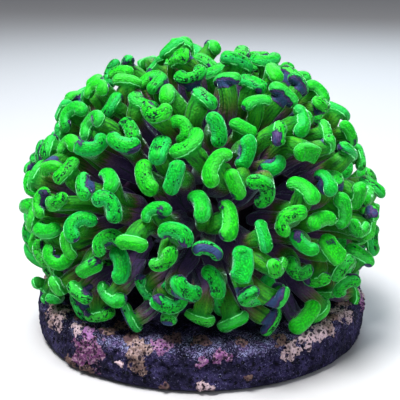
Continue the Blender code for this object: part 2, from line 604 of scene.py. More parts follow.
    def windows(self, make: FleshRecipe, under: Socket) -> Socket:
        """Adds the smooth purple windows, each with a thin dark outline.

        Args:
            make: The material's recipe.
            under: The colour round the windows.

        Returns:
            The colour.
        """
        wander = make.math("MULTIPLY_ADD", make.noise(make.grain, 1.2, 3.0, 0.6), 1.9, -0.95)
        edge = make.math("ADD", make.window, wander)
        outline = make.mix(make.remap(edge, -0.20, 0.0, 0.0, 0.8), under, self.speck)
        plum = make.mix(make.remap(make.fine, 0.3, 0.8), self.plum, self.mauve)
        plum = make.mix(make.remap(edge, 0.45, 1.1), plum, self.lilac)
        plum = make.mix(make.remap(edge, 0.40, 0.10, 0.0, 0.8), plum, self.ink)
        return make.mix(make.remap(edge, -0.04, 0.05), outline, plum)


@dataclass(frozen=True)
class OralFinish:
    """A polyp's body and oral disc: brown-purple flesh with olive blotches."""

    flesh: Colour = (0.085, 0.034, 0.105)
    olive: Colour = (0.045, 0.060, 0.050)

    def build(self) -> Material:
        """Makes the material.

        Returns:
            The material, on object coordinates.
        """
        make = Recipe("polyp_body")
        blotch = make.noise(make.place, 260.0, 3.0)
        fine = make.noise(make.place, 1800.0)
        return make.finish(
            Base_Color=make.mix(make.remap(blotch, 0.45, 0.75, 0.0, 0.8), self.flesh, self.olive),
            Roughness=make.remap(fine, 0.2, 0.8, 0.35, 0.55),
            Normal=make.bump(fine, 0.0002, 0.5),
            Subsurface_Weight=0.1,
            Subsurface_Radius=(0.5, 0.4, 1.0),
            Subsurface_Scale=0.001,
        )


@dataclass(frozen=True)
class SkeletonFinish:
    """Coral limestone with a film of algae, under dark living tissue towards the calices."""

    lime: Colour = (0.13, 0.095, 0.10)
    algae: Colour = (0.034, 0.024, 0.034)
    dirt: Colour = (0.13, 0.075, 0.10)
    tissue: Colour = (0.050, 0.018, 0.066)
    bruise: Colour = (0.016, 0.010, 0.026)

    def build(self) -> Material:
        """Makes the material.

        Returns:
            The material, which reads the attribute tissue.
        """
        make = Recipe("coral_skeleton")
        film = make.noise(make.place, 180.0, 4.0, 0.6)
        grit = make.noise(make.place, 1500.0, 4.0, 0.7)
        stone = make.mix(make.remap(film, 0.35, 0.62), self.lime, self.algae)
        stone = make.mix(make.remap(grit, 0.45, 0.75, 0.0, 0.5), stone, self.dirt)
        flesh = make.mix(make.remap(grit, 0.40, 0.66), self.tissue, self.bruise)
        covered = make.math("ADD", make.attribute("tissue", "Fac"), make.math("SUBTRACT", film, 0.5))
        return make.finish(
            Base_Color=make.mix(make.remap(covered, 0.42, 0.52), stone, flesh),
            Roughness=make.remap(grit, 0.2, 0.8, 0.6, 0.9),
            Normal=make.bump(make.math("ADD", grit, make.cells(make.place, 1300.0)), 0.0004, 0.8),
        )


class DiscRecipe(Recipe):
    """The disc's node tree, with the noises that its layers share."""

    def __init__(self) -> None:
        """Adds the noises."""
        super().__init__("disc_ceramic")
        self.grit = self.noise(self.place, 1400.0, 4.0, 0.7)
        self.fray = self.noise(self.place, 3200.0, 2.0, 0.6)


@dataclass(frozen=True)
class DiscFinish:
    """Porous dark ceramic with crusts, read from the attributes that its mesh holds."""

    slate: Colour = (0.007, 0.006, 0.024)
    pale: Colour = (0.040, 0.033, 0.110)
    pit: Colour = (0.002, 0.002, 0.007)
    frost: Colour = (0.32, 0.34, 0.60)
    violet: Colour = (0.20, 0.13, 0.30)
    rose: Colour = (0.150, 0.030, 0.120)
    lilac: Colour = (0.52, 0.22, 0.58)
    earth: Colour = (0.13, 0.070, 0.080)
    sand: Colour = (0.46, 0.32, 0.22)
    # a paler crust colour, partly standing for painted highlights
    cream_and_highlight: Colour = (0.70, 0.52, 0.58)
    stain: Colour = (0.030, 0.016, 0.032)
    crust_pit: Colour = (0.012, 0.008, 0.018)

    def build(self) -> Material:
        """Makes the material.

        Returns:
            The material, which reads the attributes crusts (rose, sand, and dust_and_highlight: pale flecks
            with a painted highlight on the front rim) and tint.
        """
        make = DiscRecipe()
        rose, sand, dust_and_highlight = make.split(make.attribute("crusts"))
        tint = make.attribute("tint", "Fac")
        holes = make.spots(make.place, 820.0, 0.36, 0.42, make.fray)

        grain = make.noise(make.place, 1100.0, 3.0, 0.65)
        sandy = make.math("MULTIPLY_ADD", grain, 1.6, make.math("SUBTRACT", tint, 0.9))
        tan = make.mix(sandy, self.earth, self.sand)
        # Paler patches on both crusts, placed by noise: crust colour and, in part, painted highlights.
        tan = make.mix(make.remap(make.math("ADD", grain, tint), 0.90, 1.35), tan, self.cream_and_highlight)
        pink = make.mix(tint, self.rose, self.lilac)
        pink = make.mix(make.remap(make.grit, 0.52, 0.40), pink, make.mix(0.45, pink, self.cream_and_highlight))
        colour = self.crust(make, sand, self.ceramic(make, holes, dust_and_highlight), tan)
        return make.finish(
            Base_Color=self.crust(make, rose, colour, pink),
            Roughness=make.remap(make.grit, 0.2, 0.8, 0.70, 0.95),
            Normal=make.bump(make.math("MULTIPLY_ADD", holes, -0.7, make.grit), 0.0007, 1.0),
            Specular_IOR_Level=0.12,
        )

    def ceramic(self, make: DiscRecipe, holes: Socket, dust_and_highlight: Socket) -> Socket:
        """The bare ceramic: blotched slate with dark holes and pale flecks, which also paint a highlight on
        the front rim.

        Args:
            make: The material's recipe.
            holes: Where the holes are.
            dust_and_highlight: How thickly the flecks are strewn, thickest where they paint the highlight on
                the front rim.

        Returns:
            The colour.
        """
        blotch = make.noise(make.place, 260.0, 4.0, 0.65)
        colour = make.mix(make.remap(blotch, 0.36, 0.64), self.slate, self.pale)
        colour = make.mix(make.remap(make.grit, 0.44, 0.66, 0.0, 0.8), colour, self.pit)
        colour = make.mix(make.math("MULTIPLY", holes, 0.95), colour, self.pit)
        flecks = make.noise(make.place, 3000.0, 3.0, 0.75)
        strewn = make.math("MULTIPLY_ADD", dust_and_highlight, 0.13, make.math("MULTIPLY_ADD", blotch, 0.16, flecks))
        light = make.ramp(make.noise(make.place, 700.0), (0.35, self.violet), (0.6, self.frost))
        return make.mix(make.remap(strewn, 0.69, 0.77, 0.0, 0.9), colour, light)

    def crust(self, make: DiscRecipe, cover: Socket, under: Socket, over: Socket) -> Socket:
        """Lays a crust over a colour, with frayed edges and dark pits.

        Args:
            make: The material's recipe.
            cover: How far inside the crust the place is.
            under: The colour under the crust.
            over: The crust's own colour.

        Returns:
            The colour.
        """
        over = make.mix(make.remap(make.fray, 0.50, 0.66, 0.0, 0.5), over, self.stain)
        large = make.spots(make.place, 900.0, 0.40, 0.60, make.fray)
        small = make.spots(make.place, 1500.0, 0.38, 0.5, make.fray)
        pits = make.math("MULTIPLY", make.math("MAXIMUM", large, small), 0.92)
        over = make.mix(pits, over, self.crust_pit)
        edge = make.math("MULTIPLY_ADD", make.grit, -0.9, make.math("ADD", cover, 0.45))
        return make.mix(make.remap(edge, 0.36, 0.48), under, over)


@dataclass(frozen=True)
class FloorFinish:
    """Plain pale studio floor."""

    colour: Colour = (0.46, 0.46, 0.48)

    def build(self) -> Material:
        """Makes the material."""
        return Recipe("studio_floor").finish(Base_Color=self.colour, Roughness=0.9, Specular_IOR_Level=0.2)


# ---- colony


class Colony:
    """The places and sizes that the pieces are built from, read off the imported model."""

    crown_drop = 9.1  # from the top of the trunk's crown to the crown's centre

    def __init__(self) -> None:
        """Reads the dome, the disc and the axis of every calice."""
        low, high = (np.array(corner) / MM for corner in CAD_BOX)
        self.dome_radius = (high[0] - low[0]) / 2.0
        self.dome_centre = np.array((0.0, 0.0, high[2] - self.dome_radius))
        disc_low, disc_high = (np.array(corner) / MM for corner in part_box("frag_disc"))
        self.disc_radius = (disc_high[0] - disc_low[0]) / 2.0
        self.disc_top = disc_high[2]
        self.polyps = sorted(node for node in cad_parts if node.startswith("polyp_"))
        self.skeleton = sorted(set(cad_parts) - set(self.polyps) - {"frag_disc"})
        self.axes = {}
        for polyp in self.polyps:
            rim = self.calice_rim(polyp.replace("polyp_", "branch_"))
            self.calice_reach = float(np.linalg.norm(rim))
            self.axes[polyp] = rim / self.calice_reach

    def points(self, node: str) -> Rows:
        """A node's points, from the dome's centre."""
        return points_of(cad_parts[node].data) - self.dome_centre

    def root_of(self, branch: str) -> Rows:
        """The middle of a branch's root: the part of it that is nearest to the middle of the crown.

        Args:
            branch: The branch's node.

        Returns:
            The place from the dome's centre.
        """
        points = self.points(branch)
        crown = self.points("trunk")[:, 2].max() - self.crown_drop
        away = np.linalg.norm(points - (0.0, 0.0, crown), axis=1)
        return np.unique(points[away < away.min() + 0.2].round(3), axis=0).mean(0)

    def calice_rim(self, branch: str) -> Rows:
        """The middle of a calice's rim: the part of the branch that is farthest out.

        Args:
            branch: The branch's node.

        Returns:
            The place from the dome's centre.
        """
        points = self.points(branch)
        away = np.linalg.norm(points, axis=1)
        return np.unique(points[away > away.max() - 0.1].round(3), axis=0).mean(0)


# ---- tentacles


@dataclass(frozen=True)
class Hammer:
    """One kind of hammer head, in millimetres and degrees. Its long side is X and its face is +Z."""

    share: float  # how many of the heads are of this kind
    right: float = 4.4  # reach of each arm from the stalk's axis
    left: float = 4.4
    width: float = 3.35
    depth: float = 2.8
    crook: tuple[float, float] = (38.0, 34.0)  # how far each arm turns sideways
    droop: tuple[float, float] = (22.0, 22.0)  # how far each arm turns back
    waist: float = 0.88  # width at the middle, as a share
    cleft: float = 0.0  # depth of a groove along the face


class HeadForm(Enum):
    """The kinds of heads on the colony."""

    KIDNEY = Hammer(0.27)
    CRESCENT = Hammer(0.22, right=5.9, left=5.5, width=3.45, crook=(56.0, 50.0), droop=(16.0, 14.0))
    BAR = Hammer(0.13, right=4.6, left=4.5, crook=(20.0, 12.0), droop=(24.0, 20.0))
    HOOK = Hammer(0.14, right=6.0, left=3.4, crook=(62.0, 24.0), droop=(22.0, 30.0))
    STUB = Hammer(
        0.09, right=3.4, left=3.3, width=3.60, depth=3.0, crook=(8.0, 10.0), droop=(28.0, 28.0), waist=1.0
    )
    CLEFT = Hammer(0.06, right=4.1, left=4.0, width=3.80, crook=(22.0, 24.0), droop=(24.0, 26.0), cleft=0.8)
    SADDLE = Hammer(
        0.09, right=4.9, left=4.7, width=3.45, crook=(24.0, 38.0), droop=(36.0, 22.0), waist=0.80
    )


@dataclass
class TentacleModel:
    """One tentacle, modelled upright once for each kind of head and then copied."""

    form: HeadForm
    stalk: float = 20.0  # from the head's centre to the root
    neck: float = 3.4  # below this the stalk may bend
    cage_swell: float = 1.09  # a cage's size over the smooth surface's
    shoulder: float = 1.9  # half the length of the head's middle block
    shortest: float = 0.5  # the least length of an arm between the shoulder and its rounded end
    cap: float = 0.42  # length of an arm's rounded end, as a share of the head's width
    cap_end: float = 0.52  # size of its last face, as a share of the one before
    flare: tuple[float, float] = (1.03, 1.05)  # how much an arm grows by its middle and by its end
    bend_cap: float = 0.3  # what is left off an arm's end to find where it bends, as a share of the width
    bend_depth: float = -2.4  # the arms bend above this, and the stalk doesn't
    bend_margin: float = 0.1
    inner_bend: float = 0.45  # where the innermost bend is, as a share of the shoulder
    stalk_heights: tuple[float, ...] = (-2.6, -5.2, -9.0, -14.0)  # of the stalk's rings above its root
    stalk_scales: Pairs = ((1.30, 0.98), (0.80, 1.02), (0.97, 1.04), (1.0, 1.0), (0.95, 0.95))
    cleft_reach: float = 0.72  # how far along the shorter arm a cleft runs, as a share
    cleft_lip: float = 1.1
    cleft_pinch: float = 0.5  # width of a cleft's floor, as a share
    stations: tuple[float, ...] = (-0.78, -0.4, 0.0, 0.4, 0.78)  # of the middle line, along the arms
    station_reach: float = 0.7  # how far along an arm a station takes in points
    mesh: Mesh = field(init=False)
    rest: Rows = field(init=False)  # the points before the arms are bent
    shape: Rows = field(init=False)  # the points after it
    spine: Rows = field(init=False)

    def __post_init__(self) -> None:
        """Models the tentacle and measures it."""
        piece = self.build()
        self.mesh = piece.data
        bpy.data.objects.remove(piece)
        self.rest = read(self.mesh.attributes["grain"].data, "vector")
        self.shape = points_of(self.mesh)
        self.spine = self.head_spine()

    def build(self) -> Piece:
        """Models the tentacle as a low cage and smooths it.

        Returns:
            The finished piece, its head's centre at the origin and its root below.
        """
        head = self.form.value
        half = (self.shoulder, self.cage_swell * head.width / 2.0, self.cage_swell * head.depth / 2.0)
        bpy.ops.object.select_all(action="DESELECT")
        bpy.ops.mesh.primitive_cube_add(size=2.0 * MM, location=(0.0, 0.0, 0.0), scale=half)
        bpy.ops.object.transform_apply(location=False, rotation=False, scale=True)
        piece = bpy.context.active_object
        piece.name = "tentacle_" + self.form.name.lower()
        bench = Bench(piece)
        bpy.ops.mesh.select_all(action="SELECT")
        bpy.ops.mesh.bisect(plane_co=(0.0, 0.0, 0.0), plane_no=(1.0, 0.0, 0.0))
        self.draw_out_arms(bench)
        self.draw_out_stalk(bench)
        if head.cleft:
            self.press_cleft(bench)
        if head.waist != 1.0:
            bench.pick(Pick.POINTS, lambda at, _: abs(at.x) < 0.1 and at.z > -0.5 * half[2])
            bench.resize((1.0, head.waist, 1.0))
        bench.close()
        store(piece.data, "grain", points_of(piece.data))
        bench = Bench(piece)
        self.bend_arms(bench)
        bench.close()
        smooth_out(piece, 2)
        return piece

    def draw_out_arms(self, bench: Bench) -> None:
        """Extrudes the two arms of the head, each with a rounded end.

        Args:
            bench: The bench that the tentacle is on.
        """
        head = self.form.value
        cap = self.cap * head.width
        for side, reach in ((1.0, head.right), (-1.0, head.left)):
            bench.pick(Pick.FACES, lambda at, normal, side=side: normal.x * side > FACING)
            length = max(reach - cap - self.shoulder, self.shortest)
            half = 0.5 * length
            for step, scale in ((half, self.flare[0]), (half, self.flare[1]), (cap, self.cap_end)):
                bench.extrude((side * step, 0.0, 0.0), (1.0, scale, scale))

    def draw_out_stalk(self, bench: Bench) -> None:
        """Extrudes the stalk down from the middle of the head.

        Args:
            bench: The bench that the tentacle is on.
        """
        bench.pick(Pick.FACES, lambda at, normal: normal.z < -FACING and abs(at.x) < self.shoulder)
        bottom = bench.middle().z / MM
        for height, scale in zip((*self.stalk_heights, -self.stalk), self.stalk_scales):
            bench.extrude((0.0, 0.0, height - bottom), (*scale, 1.0))
            bottom = height

    def press_cleft(self, bench: Bench) -> None:
        """Presses a groove along the head's face.

        Args:
            bench: The bench that the tentacle is on.
        """
        reach = self.cleft_reach * min(self.form.value.right, self.form.value.left)
        bench.pick(Pick.FACES, lambda at, normal: normal.z > FACING and abs(at.x) < reach)
        bpy.ops.mesh.inset(thickness=self.cleft_lip * MM, depth=0.0)
        bpy.ops.transform.translate(value=(0.0, 0.0, -self.form.value.cleft * MM))
        bench.resize((1.0, self.cleft_pinch, 1.0))

    def bend_arms(self, bench: Bench) -> None:
        """Turns the arms sideways and back, a ring at a time from their ends inwards.

        Args:
            bench: The bench that the tentacle is on.
        """
        head = self.form.value
        arms = zip((1.0, -1.0), (head.right, head.left), head.crook, head.droop)
        for side, reach, crook, droop in arms:
            length = max(reach - self.bend_cap * head.width - self.shoulder, self.shortest)
            for pivot in (self.shoulder + 0.5 * length, self.shoulder, self.inner_bend * self.shoulder):
                beyond = pivot + self.bend_margin
                bench.pick(
                    Pick.POINTS,
                    lambda at, _, side=side, beyond=beyond: at.x * side > beyond and at.z > self.bend_depth,
                )
                bench.turn(side * crook / 2.0, "Z", (side * pivot, 0.0, 0.0))
                bench.turn(side * droop / 2.0, "Y", (side * pivot, 0.0, 0.0))

    def head_spine(self) -> Rows:
        """Places along the head's middle line, for keeping the heads apart.

        Returns:
            One row a place.
        """
        head = self.form.value
        on_head = self.rest[:, 2] > -head.depth / 2.0
        rows = []
        for station in self.stations:
            along = station * (head.left if station < 0.0 else head.right)
            near = on_head & (np.abs(self.rest[:, 0] - along) < self.station_reach)
            rows.append(self.shape[near].mean(0))
        return np.array(rows)


@dataclass
class Stand:
    """How heads stand on the dome: a row a head, from the dome's centre."""

    place: Rows
    side: Rows
    other: Rows
    face: Rows

    def beads(self, spines: Rows, roll: Rows) -> Rows:
        """The middle lines of the heads at a roll.

        Args:
            spines: Each head's middle line on its upright model.
            roll: Each head's turn about its own stalk, in radians.

        Returns:
            The places, a row of them a head.
        """
        across = self.across(roll)
        face = np.broadcast_to(self.face, across.shape)
        axes = np.stack([across, np.cross(face, across), face], -2)
        return self.place[..., None, :] + spines @ axes

    def across(self, roll: Rows) -> Rows:
        """The long axis of each head at a roll."""
        turn = roll[..., None]
        return self.side * np.cos(turn) + self.other * np.sin(turn)

    def one(self, index: int) -> "Stand":
        """One head's stand."""
        return Stand(self.place[index], self.side[index], self.other[index], self.face[index])


@dataclass
class CrownLayout:
    """Where every head sits on the dome, and how it lies there."""

    colony: Colony
    models: dict[HeadForm, TentacleModel]
    count: int = 286
    skirt: int = 30  # how many of them start round the dome's skirt
    fringe: int = 20  # how many more heads hide behind the lowest ones
    seed: int = 41
    lowest: float = -19.0  # degrees, the lowest heads' place on the dome, in front and behind
    dip: float = 2.0  # how much lower they are at the sides
    tuck: float = 1.7  # how much nearer to the axis they are
    spacing: float = 8.3
    spiral_start: float = 6.0  # degrees that the spiral starts above the lowest heads
    shake: float = 2.6  # how far a head is shaken off the spiral
    play: tuple[float, float] = (0.1, 0.9)  # where in its share of a ring a head stands
    evenings: int = 14  # how many times the spread heads are evened out
    easing: float = 0.22  # how far they move each time, as a share
    fringe_band: tuple[float, float] = (-17.0, -6.0)  # degrees, between which the hidden heads start
    fringe_rise: tuple[float, float] = (-9.0, -5.0)  # where they stand, from the dome's level
    fringe_floor: float = -10.0  # the deepest that they may be pushed
    sizes: tuple[float, float] = (0.80, 1.07)
    sink: float = 1.6  # how far a head's middle is under the dome's skin
    depth: float = 5.4  # how much deeper the deepest heads are
    crest: float = 0.5  # how much higher the highest ones are
    evenness: float = 2.6  # the higher, the fewer deep heads there are
    headroom: float = 0.8  # how far a head may be pushed above the dome's level
    bead: float = 1.72  # half of the room that a head's arm takes
    splay: float = 1.25  # how much heads lean away from their own polyp's axis
    sway: float = 0.38  # how much they lean at random
    hang: float = -0.18  # how much the lowest heads lean down
    skirt_rise: float = 0.30  # sine of how far above the middle the low heads reach
    skirt_sway: float = 0.5  # how much more the low heads lean
    turns: int = 14  # how many rolls are tried for a head
    neighbourhood: float = 14.0  # how near a head has to be to be kept clear of
    rounds: int = 4  # of turning the heads and pushing them apart
    pushes: int = 10  # in each round
    outward_push: float = 0.05
    sideways_push: float = 0.06
    pole: float = 0.94  # above this, a direction is too near the axis to tell east by it

    def __post_init__(self) -> None:
        """Spreads the heads, gives each its kind and turn, and lets them settle apart."""
        self.random = np.random.default_rng(self.seed)
        self.level = self.colony.dome_radius - self.sink
        self.way = np.concatenate([self.spread(), self.ring(self.fringe, *self.fringe_band)])
        total = len(self.way)
        kinds = list(HeadForm)
        drawn = self.random.choice(len(kinds), total, p=[kind.value.share for kind in kinds])
        self.forms = [kinds[index] for index in drawn]
        self.size = self.random.uniform(*self.sizes, total)
        hidden = np.arange(total) >= self.count
        self.deepest = np.where(hidden, self.fringe_floor, -self.depth)
        self.rise = self.crest - self.depth * self.random.random(total) ** self.evenness
        self.rise = np.where(hidden, self.random.uniform(*self.fringe_rise, total), self.rise)
        self.roll = self.random.uniform(0.0, 2.0 * math.pi, total)
        self.lean = self.random.normal(0.0, self.sway, (total, 2)) + self.splayed()
        self.spines = np.array([self.models[form].spine for form in self.forms]) * self.size[:, None, None]
        for _ in range(self.rounds):
            self.turn_to_room()
            self.push_apart()
        self.stand = self.stands()

    def ring(self, count: int, low: float, high: float) -> Rows:
        """Directions round the skirt.

        Args:
            count: How many.
            low: Their lowest place on the dome, in degrees.
            high: Their highest one.

        Returns:
            One unit row a head.
        """
        bearing = 2.0 * math.pi * (np.arange(count) + self.random.uniform(*self.play, count)) / count
        height = np.sin(np.radians(self.random.uniform(low, high, count)))
        flat = np.sqrt(1.0 - height**2)
        return np.stack([flat * np.cos(bearing), flat * np.sin(bearing), height], 1)

    def spread(self) -> Rows:
        """Directions spread over the dome: a ring and a loose spiral, shaken and then evened out.

        Returns:
            One unit row a head.
        """
        index = np.arange(self.count - self.skirt)
        start = math.sin(math.radians(self.lowest + self.spiral_start))
        height = 1.0 - (index + 0.5) / len(index) * (1.0 - start)
        angle = index * math.pi * (3.0 - math.sqrt(5.0))
        flat = np.sqrt(1.0 - height**2)
        way = np.stack([flat * np.cos(angle), flat * np.sin(angle), height], 1)
        way = unit(way + self.random.normal(0.0, self.shake / self.level, way.shape))
        way = np.concatenate([self.ring(self.skirt, self.lowest - self.dip, self.lowest), way])
        for _ in range(self.evenings):
            apart = way[:, None] - way[None]
            far = np.linalg.norm(apart, axis=2) * self.level + np.eye(len(way)) * APART
            push = np.clip(self.spacing - far, 0.0, None) / far
            way = self.above_floor(way + self.easing * (apart * push[:, :, None]).sum(1))
        return way

    def above_floor(self, way: Rows) -> Rows:
        """Directions held above the dome's skirt, which dips at the sides.

        Args:
            way: The directions.

        Returns:
            One unit row a head.
        """
        way = unit(way)
        aside = way[:, 0] ** 2 / np.maximum(way[:, 0] ** 2 + way[:, 1] ** 2, 1e-9)
        way[:, 2] = np.maximum(way[:, 2], np.sin(np.radians(self.lowest - self.dip * aside)))
        return unit(way)

    def splayed(self) -> Rows:
        """How far each head leans away from its own polyp's axis.

        Returns:
            A row a head: to the east and to the north.
        """
        axes = np.array(list(self.colony.axes.values()))
        own = axes[(self.way @ axes.T).argmax(1)]
        away = self.way - own * (self.way * own).sum(1)[:, None]
        east, north = self.compass()
        return self.splay * np.stack([(away * east).sum(1), (away * north).sum(1)], 1)

    def compass(self) -> tuple[Rows, Rows]:
        """What points east and north along the dome at each head.

        Returns:
            Two arrays of unit rows.
        """
        up = np.where(np.abs(self.way[:, 2:]) > self.pole, (0.0, 1.0, 0.0), (0.0, 0.0, 1.0))
        east = unit(np.cross(up, self.way))
        return east, np.cross(self.way, east)

    def stands(self) -> Stand:
        """How every head stands.

        Returns:
            The stands, before their rolls.
        """
        east, north = self.compass()
        low = 1.0 - smooth(-self.skirt_rise, self.skirt_rise, self.way[:, 2])
        tilt = self.lean * (1.0 + self.skirt_sway * low)[:, None]
        tilt[:, 1] -= self.hang * low
        face = unit(self.way + east * tilt[:, :1] + north * tilt[:, 1:])
        side = unit(east - face * (east * face).sum(1)[:, None])
        away = self.level + self.rise - self.tuck * low**2
        return Stand(self.way * away[:, None], side, np.cross(face, side), face)

    def turn_to_room(self) -> None:
        """Turns each head, one after another, to the roll at which it has most room."""
        turns = np.linspace(0.0, 2.0 * math.pi, self.turns, endpoint=False)
        stand = self.stands()
        beads = stand.beads(self.spines, self.roll)
        for index in self.random.permutation(len(self.way)):
            rolls = self.roll[index] + turns
            tried = stand.one(index).beads(self.spines[index], rolls)
            near = np.linalg.norm(beads[:, 2] - beads[index, 2], axis=1) < self.neighbourhood
            near[index] = False
            far = np.linalg.norm(tried[:, :, None] - beads[near].reshape(-1, 3), axis=-1)
            best = int((np.clip(2.0 * self.bead - far, 0.0, None) ** 2).sum((1, 2)).argmin())
            self.roll[index] = rolls[best]
            beads[index] = tried[best]

    def push_apart(self) -> None:
        """Pushes overlapping heads apart, mostly along the dome."""
        owner = np.repeat(np.arange(len(self.way)), self.spines.shape[1])
        kin = owner[:, None] == owner[None]
        for _ in range(self.pushes):
            beads = self.stands().beads(self.spines, self.roll).reshape(-1, 3)
            apart = beads[:, None] - beads[None]
            far = np.linalg.norm(apart, axis=2)
            deep = np.where(kin, 0.0, np.clip(2.0 * self.bead - far, 0.0, None))
            push = (apart * (deep / np.maximum(far, 1e-6))[:, :, None]).sum(1)
            move = np.zeros((len(self.way), 3))
            np.add.at(move, owner, push)
            outward = (move * self.way).sum(1)
            highest = self.deepest + self.depth + self.headroom
            self.rise = np.clip(self.rise + self.outward_push * outward, self.deepest, highest)
            slide = move - outward[:, None] * self.way
            self.way = self.above_floor(self.way + self.sideways_push * slide / self.level)


# ---- polyps


@dataclass
class PolypBody:
    """A polyp's fleshy body: a foot in the calice, a swollen side and an oral disc with a mouth."""

    node: str
    colony: Colony
    foot_radius: float = 4.6
    foot_depth: float = 1.0
    foot_middle: float = -0.6
    sides: int = 24
    rings: Rings = ((0.4, 6.6), (0.9, 8.0), (1.2, 8.3), (0.9, 7.7), (0.35, 6.6), (0.1, 4.8), (0.1, 3.0))
    mouth: tuple[Triple, ...] = ((0.55, 2.1, 0.72), (0.1, 1.5, 0.6), (-1.4, 1.1, 0.6))
    folds: tuple[Triple, ...] = ((0.22, 9.0, 1.7), (0.12, 24.0, -1.7))  # height, number and turn

    def build(self) -> Piece:
        """Models the body.

        Returns:
            The body, in its place.
        """
        name = self.node + "_body"
        piece = add_cylinder(name, self.sides, self.foot_radius, self.foot_depth, self.foot_middle)
        bench = Bench(piece)
        bench.raise_rings(self.foot_radius, self.rings)
        for lift, radius, squeeze in self.mouth:
            bench.extrude((0.0, 0.0, lift))
            reach = max(at.xy.length for at in bench.picked())
            bench.resize((radius * MM / reach, radius * squeeze * MM / reach, 1.0))
        bench.close()
        smooth_out(piece, 2)
        self.settle(piece.data)
        return piece

    def settle(self, mesh: Mesh) -> None:
        """Folds the flesh a little and moves the body to its calice.

        Args:
            mesh: The body's mesh, upright at the origin.
        """
        points = points_of(mesh)
        flat = np.hypot(points[:, 0], points[:, 1])
        bearing = np.arctan2(points[:, 1], points[:, 0])
        number = self.colony.polyps.index(self.node)
        fold = sum(height * np.sin(count * bearing + turn * number) for height, count, turn in self.folds)
        points[:, 2] += fold * smooth(1.6, 6.5, flat)
        axis = self.colony.axes[self.node]
        turn = np.array(Vector(axis).to_track_quat("Z", "Y").to_matrix())
        seat = self.colony.dome_centre + axis * self.colony.calice_reach
        move_points(mesh, points @ turn.T + seat)


